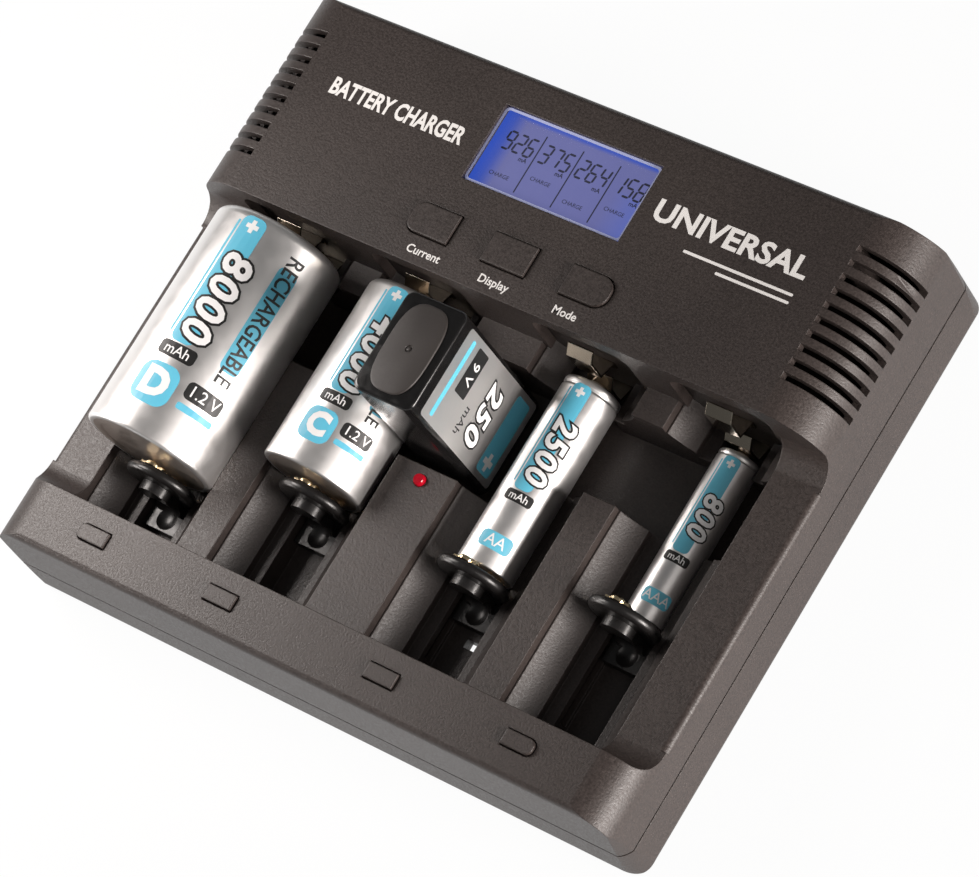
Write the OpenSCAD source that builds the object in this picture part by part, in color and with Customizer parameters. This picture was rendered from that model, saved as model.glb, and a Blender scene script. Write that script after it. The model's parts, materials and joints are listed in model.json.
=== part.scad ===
// Four bay charger for round cells and block cells, shown loaded with five cells.
// X runs along the front, Y from the front to the back and Z up from the table.

/* [Case] */
// Width at the widest line, just above the table
case_w = 183; // [178:1:192]
// Depth at the widest line
case_d = 153; // [150:1:160]
// Height of the rear hood above the table
hood_h = 38; // [37:0.5:42]
// Height of the front bar above the table
bar_h = 29.4; // [28.6:0.2:31]
// Height of the side lands and the dividers
land_h = 20.8; // [20.4:0.2:21.6]
// Height of the seam between cover and base
seam_h = 12.4; // [12.2:0.2:13.4]
// Wall of the cover and of the base's sides
wall = 2.4; // [2:0.1:2.6]
// Slope of the outer walls in degrees
draft = 4.5; // [3:0.5:5]
// Radius of the upright corners
corner_r = 6; // [4:0.5:8]
// Radius of the hood's long side edges
hood_edge_r = 13.5; // [11:0.5:15]
// Radius of the front bar's two ends
bar_edge_r = 9.5; // [6:0.5:10]
// Radius of the other outer edges
edge_r = 1.6; // [1:0.1:2]
// Radius of the base's lower edge
base_edge_r = 2; // [1:0.2:3]
// Depth of the front bar, measured at the table line
bar_d = 17.2; // [16.6:0.1:17.8]
// Distance from the front to the hood's front face
hood_y = 97.7; // [97.2:0.1:98.4]
// Fillet between the lands and the bar or the hood
land_fillet_r = 6; // [4:0.5:7]
// Floor of the base
base_floor = 1.6; // [1.2:0.1:2]

/* [Vents] */
// Slots on each side of the hood
vent_n = 10; // [6:1:11]
// Width of one slot
vent_w = 1.7; // [1.2:0.1:2.2]
// Distance between slots
vent_pitch = 3.7; // [3.4:0.05:3.8]
// Distance from the front to the first slot
vent_y = 107.5; // [106:0.5:109]

/* [Bays] */
// Width of a bay's window in the cover
bay_w = 30; // [29:0.2:30.6]
// Distance from an inner bay to its outer neighbour
bay_pitch = 38.8; // [38.4:0.2:39.4]
// Distance from the middle to an inner bay
bay_centre = 23.6; // [23.2:0.2:24.2]
// Radius of the trough for the thickest cell
trough_r = 17; // [16.8:0.1:17.6]
// Width of the slot below the trough
slot_w = 18; // [17.6:0.1:18.4]
// Height of the slot's upper edges
slot_h = 12.8; // [12.6:0.1:13.2]
// Width of the channel for the thinnest cell
channel_w = 11.4; // [11.2:0.1:12]
// Height of the ledges beside the channel
ledge_h = 10.4; // [10:0.1:10.5]
// Floor of the bay liner
liner_floor = 1.8; // [1.4:0.1:2]
// Walls of the bay liner
liner_wall = 1.6; // [1.2:0.1:1.8]
// Distance from the front to the rear end of the outer dividers
divider_end = 69.6; // [67:0.2:71]
// Distance from the front to the rear end of the middle divider
middle_end = 59.9; // [58:0.2:60.6]
// Distance from the front to the blocks before the hood
block_y = 90.3; // [89.6:0.1:91]
// Distance from the front to the plane of the positive contacts
contact_y = 95.2; // [94.8:0.1:95.8]

/* [Cells] */
// Diameter of the thickest cell
d_dia = 33.3; // [32.6:0.1:34]
// Length of the thickest cell
d_len = 61.5; // [60:0.1:61.8]
// Diameter of the second cell
c_dia = 26; // [25.2:0.1:26.4]
// Length of the second cell
c_len = 50; // [48.8:0.1:50.4]
// Diameter of the third cell
aa_dia = 14.4; // [13.8:0.1:14.6]
// Length of the third cell
aa_len = 50.5; // [49.4:0.1:50.6]
// Diameter of the thinnest cell
aaa_dia = 10.4; // [9.8:0.1:10.6]
// Length of the thinnest cell
aaa_len = 44.5; // [43.6:0.1:44.8]
// Thickness of the block cell
block_t = 17.4; // [16.6:0.1:17.6]
// Width of the block cell
block_w = 26.2; // [25.4:0.1:26.6]
// Height of the block cell without its terminals
block_h = 46.1; // [45:0.1:46.6]

/* [Sliders] */
// Length of a slider from its toe to its contact face
slider_len = 11.2; // [10.8:0.1:11.6]
// Width of the slider's foot
foot_w = 10.6; // [10:0.1:10.8]
// Height of the foot above the channel's floor
toe_h = 3.6; // [3:0.1:4]
// Radius of the slider's round plate
disc_r = 9.2; // [8.6:0.1:9.4]
// Height of the round plate's centre above the table
disc_h = 17.5; // [17:0.1:18]
// Diameter of the finger dimple
dimple_d = 5.4; // [4.6:0.1:5.8]

/* [Controls] */
// Width of the display opening
lcd_w = 45.2; // [40:0.2:48]
// Depth of the display opening
lcd_d = 20.4; // [18:0.2:21]
// Distance from the back to the middle of the display
lcd_y = 21.6; // [21:0.2:23]
// Width of a control key
key_w = 12.2; // [11:0.2:13]
// Depth of a control key
key_d = 7.6; // [7:0.2:8]
// Distance between control keys
key_pitch = 22.4; // [20:0.2:24]
// Distance from the front to the control keys
key_y = 108.6; // [108.2:0.1:109]
// Width of a bay key
bay_key_w = 8.1; // [7:0.1:9]
// Depth of a bay key
bay_key_d = 3.7; // [3.2:0.1:4.2]
// Distance from the front to the bay keys
bay_key_y = 10.5; // [10:0.1:10.8]
// Height of a key above its panel
key_proud = 0.7; // [0.4:0.1:1]
// Travel of a key
key_travel = 0.6; // [0.4:0.1:0.7]
// Diameter of the signal lamp
lamp_d = 3; // [2:0.1:4]

/* [Hardware] */
// Height of the rubber feet below the base
foot_h = 1; // [0.6:0.1:1.6]
// Diameter of the rubber feet
foot_d = 10; // [8:0.5:12]
// Thickness of the circuit boards
board_t = 1.6; // [1:0.1:1.8]
// Thickness of the contact strips
strip_t = 0.5; // [0.3:0.05:0.6]
// Width of the positive contacts
strip_w = 7; // [5:0.1:8]
// Wire of the slider springs
wire_d = 0.5; // [0.4:0.05:0.6]
// Outer diameter of the slider springs
spring_d = 3.6; // [3:0.1:3.8]

/* [Clearances] */
// Gap round keys, sliders and other moving pieces
run_gap = 0.35; // [0.25:0.05:0.4]
// Gap between pieces that only rest on each other
rest_gap = 0.1; // [0.05:0.01:0.15]
// Gap between a slider's toe and its front stop
stop_gap = 0.5; // [0.4:0.05:0.8]

/* [Hidden] */
$fn = 64;
// Angle at which a round edge meets its neighbours
blunt = 4;
// Overlap of solids that are joined
lap = 2;
// Heights
edge_h = foot_h + base_edge_r;
base_top = foot_h + base_floor;
floor_h = base_top + liner_floor;
plate_h = land_h - wall;
trough_h = slot_h + sqrt(pow(trough_r, 2) - pow(slot_w / 2, 2));
// Rebate of the seam
rebate_h = 0.5;
rebate_w = 0.6;
post_gap = 0.6;
// Places of the bays
bay_x = [-bay_centre - bay_pitch, -bay_centre, bay_centre, bay_centre + bay_pitch];
bay_out = bay_centre + bay_pitch + bay_w / 2;
liner_half = bay_out + liner_wall;
seat_wall_y = hood_y + wall + rest_gap;
seat_wall_h = hood_h - wall - 1;
recess_w = bay_w - 3;
recess_h = seat_wall_h - 1;
recess_r = 4;
// Height of the axis of a cell that rests on two edges, a gap apart, at height h
function axis_on(dia, gap, h) = h + sqrt(pow(dia, 2) - pow(gap, 2)) / 2 + rest_gap;
// Cells from left to right: diameter, length, height of the axis, nub diameter and height
cells = [
    [d_dia, d_len, axis_on(d_dia, bay_w, land_h), 9, 1.8],
    [c_dia, c_len, max(axis_on(c_dia, slot_w, slot_h), axis_on(c_dia, channel_w, ledge_h)), 7, 1.6],
    [aa_dia, aa_len, axis_on(aa_dia, channel_w, ledge_h), 5.2, 1.3],
    [aaa_dia, aaa_len, floor_h + aaa_dia / 2 + rest_gap, 3.6, 1]
];
terminal_h = 1.6;
terminal_gap = 12.7;
pad_w = 10;
pad_d = 9;
terminal_d = [8.2, 5.8];
block_foot = floor_h + strip_t + terminal_h + rest_gap;
block_mid = (middle_end + block_y) / 2;
block_r = 2.4;
// Window through the floor of the third bay
view_slot = [5.4, 2.2];
view_slot_y = 12;
// Leaf contacts: lip, height of the slope, length on the wall, reach past a cell's axis
leaf_lip = 2.2;
leaf_drop = 1.6;
leaf_root = 2.4;
leaf_reach = 1.2;
// Sliders
dome_h = 1;
dome_r = 1.3;
dome_x = 1.4;
dome_drop = 2.6;
disc_t = 2.6;
dish_r = 4.6;
dish_edge = 0.5;
rib_t = 2.4;
rib_w = foot_w - 3;
strip_half = 3.2;
strip_low = floor_h + 2.4;
strip_top = disc_h + sqrt(pow(disc_r, 2) - pow(strip_half, 2)) - disc_t / 2;
toe_top = floor_h + toe_h;
tab_t = 2.5;
tab_h = 2.2;
tab_z = floor_h + 1.4;
tab_back = 3.5;
spring_x = channel_w / 2 + liner_wall + spring_d / 2 + run_gap;
spring_z = tab_z + tab_h / 2;
spring_turns = 8;
hollow_h = spring_z + spring_d / 2 + run_gap;
// Keys and boards, with the corner radii of each key's left and right end
control_key_r = [[2.6, 0], [0, 0], [0, 3.4]];
bay_key_r = [[1.3, 0], [0, 0], [0, 0], [0, 1.6]];
flange = 1.2;
key_stem = 0.3;
switch_h = 3.4;
switch_w = 6;
key_gap = key_travel + run_gap;
lamp_y = middle_end - 3.5;
window_sink = 0.8;
window_t = 1.2;
hood_board_z = hood_h - wall - rest_gap - flange - key_stem - key_gap - switch_h - board_t;
bar_board_z = bar_h - wall - rest_gap - flange - key_stem - key_gap - switch_h - board_t;
lcd_mid = case_d - lcd_y;
board_gap = 2.4;
board_front = seat_wall_y + liner_wall + board_gap;
hood_board = [104, case_d - wall_in(hood_h, wall) - board_gap - board_front];
hood_board_y = board_front + hood_board[1] / 2;
bar_board_in = 18.1;
bar_board_d = 8;
bar_board = [case_w - 2 * bar_board_in, bar_board_d];
power_back = 8;
power_board_size = [110, case_d - power_back - board_front];
power_board_y = board_front + power_board_size[1] / 2;
power_board_z = base_top + 1;
// Largest parts on the power board: places along X, diameter and height, or size
drums_x = [-12, 8, 28];
drum = [10, 11];
chokes_x = [-22, 18];
choke = [12, 9, 7];
// Screws: shank, head and pilot
screw_d = 2.6;
head_d = 5.4;
head_h = 1.8;
screw_bite = 6;
post_d = 6.6;
head_sink = 4;
front_screw_in = 11.5;
back_screw_in = 19.5;
back_screw_y = case_d - 12;
case_screws_at = [for (s = [-1, 1]) each [
    [s * (case_w / 2 - front_screw_in), bay_key_y, bar_h],
    [s * (case_w / 2 - back_screw_in), back_screw_y, hood_h]
]];
hood_posts = [for (s = [-1, 1], t = [-1, 1])
    [s * (hood_board[0] / 2 - 4), hood_board_y + t * (hood_board[1] / 2 - 4)]];
power_posts = [for (s = [-1, 1], t = [-1, 1])
    [s * (power_board_size[0] / 2 - 5), power_board_y + t * (power_board_size[1] / 2 - 5)]];
bar_posts = [for (s = [-1, 0, 1]) [s * (bay_centre + bay_pitch / 2), bay_key_y]];
// Feet: distance from the sides, the front and the back, and the depth of their seats
foot_in = 15.5;
foot_front = 26;
foot_back = 28;
foot_seat = 0.6;
feet_at = [for (s = [-1, 1], y = [foot_front, case_d - foot_back]) [s * (case_w / 2 - foot_in), y]];
// Power inlet
inlet_x = -40;
inlet_d = 6.4;
inlet_z = power_board_z + board_t + 3.5;
inlet_body = [9, 13, 6.8];

// Places a piece that is drawn from the front face so that the middle of the case is the origin
module placed() {
    translate([0, -case_d / 2, 0]) children();
}

// Draws a flat outline along Y
module along_y(y0, y1) {
    translate([0, y1, 0]) rotate([90, 0, 0]) linear_extrude(y1 - y0) children();
}

// Draws a flat outline along X
module along_x(x0, x1) {
    translate([x0, 0, 0]) rotate([90, 0, 90]) linear_extrude(x1 - x0) children();
}

// Distance of the sloped outer wall, moved in by inset, from the line at the table
function wall_in(z, inset) = (z - edge_h) * tan(draft) + inset / cos(draft);

// A round edge from angle a0 to a1 is a slightly flatter circle, which crosses its neighbours at a small
// angle where a true fillet would only touch them
function unit(a) = [cos(a), sin(a)];
function flat_r(r, a0, a1) = r * sin((a1 - a0) / 2) / sin((a1 - a0) / 2 - blunt);
function flat_c(c, r, a0, a1) = let (half = (a1 - a0) / 2)
    c + (r * cos(half) - flat_r(r, a0, a1) * cos(half - blunt)) * unit((a0 + a1) / 2);

// Point of the neighbour's line that lies just inside that circle
function edge_point(c, r, a0, a1, a) = flat_c(c, r, a0, a1) + flat_r(r, a0, a1) * cos(blunt) * unit(a);

module edge_circle(c, r, a0, a1) {
    translate(flat_c(c, r, a0, a1)) circle(flat_r(r, a0, a1));
}

// Cross section with sloped flanks, a flat top and two round upper edges
module cross_section(top, r, inset, bottom) {
    in_r = r - inset;
    xb = case_w / 2 - wall_in(bottom, inset);
    c = [case_w / 2 - wall_in(top - r, r), top - r];
    p = edge_point(c, in_r, draft, 90, draft);
    q = edge_point(c, in_r, draft, 90, 90);
    polygon([[-xb, bottom], [xb, bottom], p, q, [-q[0], q[1]], [-p[0], p[1]]]);
    for (s = [0, 1]) mirror([s, 0]) edge_circle(c, in_r, draft, 90);
}

// One end of the lengthwise section, from the front face to y1, with a round edge on the outside only
module end_section(top, inset, bottom, y1) {
    yb = wall_in(bottom, inset);
    if (inset > 0) {
        polygon([[yb, bottom], [wall_in(top - inset, inset), top - inset], [y1, top - inset], [y1, bottom]]);
    } else {
        c = [wall_in(top - edge_r, edge_r), top - edge_r];
        p = edge_point(c, edge_r, 90, 180 - draft, 180 - draft);
        polygon([[yb, bottom], p, edge_point(c, edge_r, 90, 180 - draft, 90), [y1, top], [y1, bottom]]);
        edge_circle(c, edge_r, 90, 180 - draft);
    }
}

// Rectangle with four round corners, centred
module round_rect(w, d, r) {
    square([w - 2 * r, d], center = true);
    square([w, d - 2 * r], center = true);
    for (s = [-1, 1], t = [-1, 1]) translate([s * (w / 2 - r), t * (d / 2 - r)]) circle(r);
}

// Plan of the case, moved in by inset: round corners outside, flat ones inside
module plan(inset) {
    c = [case_w / 2 - inset - corner_r, case_d / 2 - inset - corner_r];
    p = edge_point(c, corner_r, 0, 90, 0);
    q = edge_point(c, corner_r, 0, 90, 90);
    translate([0, case_d / 2]) {
        polygon([
            p, q, [-q[0], q[1]], [-p[0], p[1]],
            [-p[0], -p[1]], [-q[0], -q[1]], [q[0], -q[1]], [p[0], -p[1]]
        ]);
        if (inset < 1) for (s = [0, 1], t = [0, 1]) mirror([s, 0]) mirror([0, t])
            edge_circle(c, corner_r, 0, 90);
    }
}

// Outer form of the cover above the seam
module cover_form() {
    intersection() {
        union() {
            along_y(0, bar_d) cross_section(bar_h, bar_edge_r, 0, seam_h);
            along_y(bar_d - lap, hood_y + lap) cross_section(land_h, edge_r, 0, seam_h);
            along_y(hood_y, case_d) cross_section(hood_h, hood_edge_r, 0, seam_h);
        }
        cover_ends(0, seam_h);
        linear_extrude(hood_h * 2) plan(0);
    }
}

// Room inside the cover, with upright sides under the lands
module cover_hollow() {
    low = seam_h - 1;
    land_half = case_w / 2 - wall_in(plate_h, wall) - 0.4;
    intersection() {
        union() {
            along_y(0, bar_d - wall) cross_section(bar_h, bar_edge_r, wall, low);
            translate([-land_half, bar_d - wall - lap, low])
                cube([2 * land_half, hood_y - bar_d + 2 * (wall + lap), plate_h - low]);
            along_y(hood_y + wall, case_d) cross_section(hood_h, hood_edge_r, wall, low);
        }
        cover_ends(wall, low);
        linear_extrude(hood_h * 2) plan(wall);
    }
}

// Lengthwise form with a sloped front and back
module cover_ends(inset, bottom) {
    along_x(-case_w, case_w) {
        end_section(bar_h, inset, bottom, case_d / 2 + lap);
        translate([case_d, 0]) mirror([1, 0]) end_section(hood_h, inset, bottom, case_d / 2);
    }
}

// Hollow fillets that carry a land up to the bar and to the hood
module land_fillet(y, dir, top, r) {
    deep = 1.5;
    size = land_fillet_r + deep + 1;
    c = [y + dir * land_fillet_r, land_h + land_fillet_r];
    intersection() {
        for (s = [-1, 1]) {
            x0 = s > 0 ? bay_out : -case_w / 2;
            along_x(x0, x0 + case_w / 2 - bay_out) difference() {
                translate([y + (dir > 0 ? -deep : deep - size), land_h - deep]) square(size);
                edge_circle(c, land_fillet_r, dir > 0 ? 180 : 270, dir > 0 ? 270 : 360);
            }
        }
        along_y(0, case_d) cross_section(top, r, 0, seam_h);
    }
}

// Outline of a key, with round corners on its left or right end where a radius is given
module key_outline(left_r, right_r, w, d, grow) {
    hw = w / 2 + grow;
    hd = d / 2 + grow;
    a = left_r > 0 ? left_r + grow : 0;
    b = right_r > 0 ? right_r + grow : 0;
    translate([a - hw, -hd]) square([2 * hw - a - b, 2 * hd]);
    if (a > 0) key_end(-1, hw, hd, a);
    if (b > 0) key_end(1, hw, hd, b);
}

module key_end(side, hw, hd, r) {
    translate([side > 0 ? hw - r : -hw, r - hd]) square([r, 2 * hd - 2 * r]);
    for (t = [-1, 1]) translate([side * (hw - r), t * (hd - r)]) circle(r);
}

// Outlines of the three control keys and the four bay keys
module control_outline(i, grow) {
    translate([(i - 1) * key_pitch, key_y])
        key_outline(control_key_r[i][0], control_key_r[i][1], key_w, key_d, grow);
}

module bay_key_outline(i, grow) {
    translate([bay_x[i], bay_key_y])
        key_outline(bay_key_r[i][0], bay_key_r[i][1], bay_key_w, bay_key_d, grow);
}

// A key that is held under its panel by a flange
module key_solid(panel_h) {
    under = panel_h - wall - rest_gap;
    translate([0, 0, under - flange]) linear_extrude(panel_h + key_proud - under + flange) children(0);
    translate([0, 0, under - flange]) linear_extrude(flange) children(1);
    translate([0, 0, under - flange - key_stem]) linear_extrude(key_stem + flange) children(2);
}

// Screw with its head at the lower end
module screw(len) {
    cylinder(d = head_d, h = head_h);
    cylinder(d = screw_d, h = len);
}

// Round cell along Y with its positive end at the back
module round_cell(cell) {
    r = cell[0] / 2;
    body = cell[1] - cell[4];
    shoulder = cell[0] * 0.08;
    rim = 0.6;
    rotate([-90, 0, 0]) rotate_extrude() {
        square([r - shoulder, body]);
        translate([0, rim]) square([r, body - shoulder - rim]);
        square([r - rim, body / 2]);
        translate([r - rim, rim]) circle(rim);
        translate([r - shoulder, body - shoulder]) circle(shoulder);
        square([cell[3] / 2, cell[1]]);
    }
}

module cell_in_bay(i) {
    placed() translate([bay_x[i], contact_y - cells[i][1] - rest_gap, cells[i][2]]) round_cell(cells[i]);
}

// Unit normal of the line from a to b, and the mitre at a point of a bent line
function normal(a, b) = let (d = (b - a) / norm(b - a)) [-d[1], d[0]];
function mitre(p, i) = let (
    n0 = normal(p[max(i - 1, 0)], p[max(i, 1)]),
    n1 = normal(p[min(i, len(p) - 2)], p[min(i + 1, len(p) - 1)])
) (n0 + n1) / (1 + n0 * n1);

// Flat strip of metal bent through points in Y and Z, drawn along X
module strip(points, w) {
    ends = [0 : len(points) - 1];
    over = [for (i = ends) points[i] + mitre(points, i) * strip_t / 2];
    under = [for (i = ends) points[i] - mitre(points, i) * strip_t / 2];
    along_x(-w / 2, w / 2) polygon(concat(over, [for (i = ends) under[len(points) - 1 - i]]));
}

// Place and side of each slider's parts
function slide_y(i) = contact_y - rest_gap - cells[i][1];
function toe_y(i) = slide_y(i) - slider_len;
function travel(i) = toe_y(i) - bar_d - stop_gap;
function spring_side(i) = i < 2 ? 1 : -1;
function tab_y(i) = slide_y(i) - tab_back - tab_t;

// Coil of wire along Y, swept as a tube of five sides
function coil_point(k, n, len) = let (a = 360 * spring_turns * k / n)
    [(spring_d - wire_d) / 2 * cos(a), wire_d / 2 + (len - wire_d) * k / n, (spring_d - wire_d) / 2 * sin(a)];
function coil_ring(k, n, len, sides) = let (a = 360 * spring_turns * k / n, p = coil_point(k, n, len))
    [for (j = [0 : sides - 1]) let (b = 360 * j / sides)
        p + wire_d / 2 * (cos(b) * [cos(a), 0, sin(a)] + sin(b) * [0, 1, 0])];

module coil(len) {
    sides = 5;
    n = spring_turns * 10;
    points = [for (k = [0 : n]) each coil_ring(k, n, len, sides)];
    walls = [for (k = [0 : n - 1], j = [0 : sides - 1]) let (a = k * sides, b = (j + 1) % sides)
        each [[a + j, a + b, a + sides + b], [a + j, a + sides + b, a + sides + j]]];
    first = [[for (j = [0 : sides - 1]) sides - 1 - j]];
    last = [[for (j = [0 : sides - 1]) n * sides + j]];
    polyhedron(points, concat(walls, first, last));
}

// Lower shell with screw bosses, board posts and the holes in its floor
module base_tray() {
    color("#2b2625") placed() difference() {
        union() {
            difference() {
                base_form(seam_h - rebate_h, 0);
                base_hollow();
            }
            difference() {
                base_form(seam_h, rebate_w);
                base_hollow();
            }
            for (p = case_screws_at) translate([p[0], p[1], foot_h])
                cylinder(d = post_d + 1.4, h = seam_h - foot_h - post_gap);
            for (p = power_posts) translate([p[0], p[1], foot_h])
                cylinder(d = post_d, h = power_board_z - foot_h);
            for (p = bar_posts) translate([p[0], p[1], foot_h])
                cylinder(d = post_d, h = bar_board_z - foot_h);
        }
        for (p = case_screws_at) translate([p[0], p[1], 0]) {
            cylinder(d = head_d + 0.8, h = foot_h + head_sink);
            cylinder(d = screw_d + 0.6, h = seam_h + 1);
        }
        for (p = power_posts) translate([p[0], p[1], base_top]) cylinder(d = screw_d + 0.2, h = seam_h);
        for (p = bar_posts) translate([p[0], p[1], bar_board_z - 8]) cylinder(d = screw_d + 0.2, h = 9);
        for (p = feet_at) translate([p[0], p[1], 0])
            cylinder(d = foot_d + 4 * rest_gap, h = foot_h + foot_seat);
        translate([inlet_x, case_d + 1, inlet_z]) rotate([90, 0, 0])
            cylinder(d = inlet_d + 0.5, h = wall + 4);
        floor_window();
    }
}

// Outer form of the base up to a height, moved in by inset
module base_form(top, inset) {
    intersection() {
        along_y(0, case_d) base_section(top, inset);
        along_x(-case_w, case_w) translate([case_d / 2, 0]) base_length(top, inset);
        linear_extrude(hood_h) plan(inset);
    }
}

// Section of the base with a round lower edge on each side of half the given span
module base_outline(half, top, inset) {
    c = [half - wall_in(edge_h, inset + base_edge_r), edge_h];
    p = edge_point(c, base_edge_r, -90, draft, -90);
    q = edge_point(c, base_edge_r, -90, draft, draft);
    xt = half - wall_in(top, inset);
    polygon([[-p[0], p[1]], p, q, [xt, top], [-xt, top], [-q[0], q[1]]]);
    for (s = [0, 1]) mirror([s, 0]) edge_circle(c, base_edge_r, -90, draft);
}

module base_section(top, inset) {
    base_outline(case_w / 2, top, inset);
}

module base_length(top, inset) {
    base_outline(case_d / 2, top, inset);
}

// Room inside the base
module base_hollow() {
    intersection() {
        along_y(0, case_d) hollow_outline(case_w / 2);
        along_x(-case_w, case_w) translate([case_d / 2, 0]) hollow_outline(case_d / 2);
        linear_extrude(hood_h) plan(wall);
    }
}

module hollow_outline(half) {
    low = half - wall_in(base_top, wall);
    high = half - wall_in(seam_h + 1, wall);
    polygon([[-low, base_top], [low, base_top], [high, seam_h + 1], [-high, seam_h + 1]]);
}

// Small window through the liner and the base in the third bay
module floor_window() {
    translate([bay_x[2] - view_slot[0] / 6, bar_d + view_slot_y, 0])
        cube([view_slot[0], view_slot[1], floor_h + 1]);
}

// Upper shell with the hood, the front bar, the lands and the dividers' plates
module top_cover() {
    color("#2e2928") placed() difference() {
        union() {
            difference() {
                union() {
                    cover_form();
                    land_fillet(bar_d, 1, bar_h, bar_edge_r);
                    land_fillet(hood_y, -1, hood_h, hood_edge_r);
                }
                cover_hollow();
            }
            for (p = case_screws_at) translate([p[0], p[1], seam_h - post_gap])
                cylinder(d = post_d, h = p[2] - wall / 2 - seam_h + post_gap);
            for (p = hood_posts) translate([p[0], p[1], hood_board_z + board_t])
                cylinder(d = post_d, h = hood_h - wall / 2 - hood_board_z - board_t);
        }
        bay_windows();
        hood_recesses();
        vents();
        translate([-lcd_w / 2, lcd_mid - lcd_d / 2, hood_h - wall - 1]) cube([lcd_w, lcd_d, wall + 2]);
        translate([0, 0, hood_h - wall - 1]) linear_extrude(wall + 2)
            for (i = [0 : 2]) control_outline(i, run_gap);
        translate([0, 0, bar_h - wall - 1]) linear_extrude(wall + 2)
            for (i = [0 : 3]) bay_key_outline(i, run_gap);
        translate([0, lamp_y, plate_h - 1]) cylinder(d = lamp_d + 0.2, h = wall + 2);
        for (p = case_screws_at) translate([p[0], p[1], 0]) cylinder(d = screw_d + 0.2, h = seam_h + 9);
        for (p = hood_posts) translate([p[0], p[1], 0])
            cylinder(d = screw_d + 0.2, h = hood_board_z + board_t + 5);
    }
}

// Windows of the four bays and the gaps across the dividers
module bay_windows() {
    translate([0, 0, plate_h - 1]) linear_extrude(wall + 2) {
        for (x = bay_x) translate([x - bay_w / 2, bar_d]) square([bay_w, hood_y - bar_d]);
        translate([-bay_out, divider_end]) square([2 * bay_out, block_y - divider_end]);
        translate([-bay_centre, middle_end]) square([2 * bay_centre, block_y - middle_end]);
    }
}

// Openings in the hood's front face where the contacts stand
module hood_recesses() {
    for (x = bay_x) translate([x, 0, 0]) along_y(hood_y - 1, hood_y + wall + rest_gap / 2) {
        translate([-recess_w / 2, plate_h - 1]) square([recess_w, recess_h - recess_r - plate_h + 1]);
        translate([recess_r - recess_w / 2, plate_h]) square([recess_w - 2 * recess_r, recess_h - plate_h]);
        for (s = [-1, 1]) translate([s * (recess_w / 2 - recess_r), recess_h - recess_r]) circle(recess_r);
    }
}

// Slots across the hood's round side edges
module vents() {
    zc = hood_h - hood_edge_r;
    xc = case_w / 2 - wall_in(zc, hood_edge_r);
    for (i = [0 : vent_n - 1], s = [-1, 1]) {
        x0 = s > 0 ? xc : -case_w;
        translate([x0, vent_y + i * vent_pitch - vent_w / 2, zc]) cube([case_w - xc, vent_w, hood_h]);
    }
}

// Stepped troughs that take every size of round cell, with the wall that carries the contacts
module bay_liner() {
    front = bar_d - liner_wall;
    back = seat_wall_y + liner_wall;
    color("#1d1a1a") placed() difference() {
        union() {
            translate([-liner_half, front, base_top]) cube([2 * liner_half, back - front, liner_floor]);
            translate([-liner_half, front, base_top])
                cube([2 * liner_half, divider_end - front, plate_h - base_top]);
            translate([-liner_half, block_y, base_top])
                cube([2 * liner_half, back - block_y, plate_h - base_top]);
            for (x = [-liner_half, bay_out]) translate([x, front, base_top])
                cube([liner_wall, back - front, plate_h - base_top]);
            translate([-bay_out, seat_wall_y, base_top])
                cube([2 * bay_out, liner_wall, seat_wall_h - base_top]);
        }
        for (x = bay_x) translate([x, 0, 0]) along_y(bar_d, seat_wall_y) trough_outline();
        middle_gap = bay_centre - channel_w / 2;
        translate([-middle_gap, middle_end, floor_h]) cube([2 * middle_gap, block_y - middle_end, plate_h]);
        spring_rooms();
        for (i = [0 : 3]) tab_slit(i);
        translate([0, lamp_y, plate_h - 6]) cylinder(d = lamp_d + 0.6, h = 7);
        floor_window();
    }
}

module trough_outline() {
    translate([0, trough_h]) circle(trough_r);
    translate([-slot_w / 2, ledge_h]) square([slot_w, trough_h - ledge_h]);
    translate([-channel_w / 2, floor_h]) square([channel_w, trough_h - floor_h]);
}

// Rooms for the slider springs inside the three dividers
module spring_rooms() {
    side = channel_w / 2 + liner_wall;
    ends = [divider_end, middle_end, divider_end];
    for (i = [0 : 2]) translate([bay_x[i] + side, bar_d, floor_h])
        cube([bay_x[i + 1] - bay_x[i] - 2 * side, ends[i] - liner_wall - bar_d, hollow_h - floor_h]);
}

// Slit through which a slider's tab reaches its spring
module tab_slit(i) {
    x0 = channel_w / 2 - 0.5;
    x1 = channel_w / 2 + liner_wall + 0.5;
    y0 = tab_y(i) - travel(i) - run_gap;
    z0 = tab_z - run_gap;
    translate([bay_x[i] + (spring_side(i) > 0 ? x0 : -x1), y0, z0])
        cube([x1 - x0, travel(i) + tab_t + 2 * run_gap, tab_h + 2 * run_gap]);
}

// Sliding contact carriage: foot with a finger dimple, round plate, ribs and spring tab
module slider(i) {
    y = slide_y(i);
    low = floor_h + run_gap;
    face = y - dome_h - strip_t;
    dish_up = sqrt(pow(dish_r, 2) - pow(dimple_d / 2, 2));
    color("#151314") placed() translate([bay_x[i], 0, 0]) difference() {
        union() {
            translate([-foot_w / 2, toe_y(i), low]) cube([foot_w, face - toe_y(i), toe_top - low]);
            translate([0, face, 0]) slider_plate();
            along_y(face - disc_t, face) translate([-foot_w / 2, low]) square([foot_w, disc_h - low]);
            along_y(face - disc_t - rib_t, face - disc_t / 2) {
                translate([-rib_w / 2, low]) square([rib_w, disc_h - low]);
                translate([0, disc_h]) circle(d = rib_w + 0.6);
            }
            tab_x = spring_side(i) > 0 ? 0 : -spring_x - spring_d / 2;
            translate([tab_x, tab_y(i), tab_z]) cube([spring_x + spring_d / 2, tab_t, tab_h]);
        }
        translate([0, toe_y(i) + dimple_d / 2 + dish_edge, toe_top + dish_up]) sphere(dish_r);
    }
}

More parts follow.
